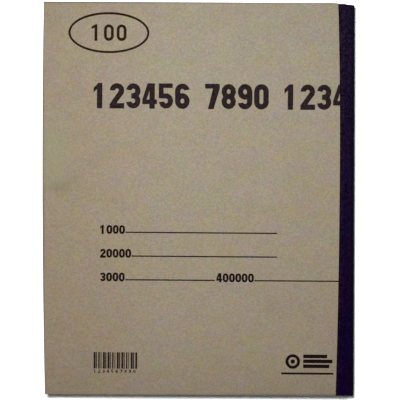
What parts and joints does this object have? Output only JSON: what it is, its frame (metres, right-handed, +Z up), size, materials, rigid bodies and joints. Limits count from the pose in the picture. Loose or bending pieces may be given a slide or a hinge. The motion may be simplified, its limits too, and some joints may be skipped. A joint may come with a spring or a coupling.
{
  "type": "composition notebook",
  "caption": "Thread-sewn notebook with card covers, a cloth-bound spine, and front and back covers that each open on a crease beside the spine.",
  "frame": {"origin": "middle of the back cover's outer face, on the surface that the book lies on", "axes": "+X from the fore-edge to the spine, +Y from the foot to the head, +Z up from the back cover to the front cover"},
  "size_m": [0.197, 0.248, 0.0097],
  "materials": {
    "leaf_paper": "uncoated white writing paper, ruled",
    "thread": "spun sewing thread",
    "binding_cloth": "dark purple-black woven binding cloth, slightly shiny",
    "cover_card": "grey-brown uncoated cover card, mottled and lightly worn",
    "ink": "matt black printing ink with a purple cast"
  },
  "bodies": {
    "book_block": {"page_block": "leaf_paper", "sewing_thread": "thread", "spine_cloth": "binding_cloth"},
    "front_cover": {"front_cover": "cover_card", "front_cloth_strip": "binding_cloth", "cover_print": "ink"},
    "back_cover": {"back_cover": "cover_card", "back_cloth_strip": "binding_cloth"}
  },
  "joints": [
    {"name": "front_cover_hinge", "type": "hinge", "parent": "book_block", "child": "front_cover", "pos_m": [0.0915, 0, 0.00925], "axis": [0, 1, 0], "range_deg": [0, 180]},
    {"name": "back_cover_hinge", "type": "hinge", "parent": "book_block", "child": "back_cover", "pos_m": [0.0915, 0, 0.00035], "axis": [0, -1, 0], "range_deg": [0, 180]}
  ]
}
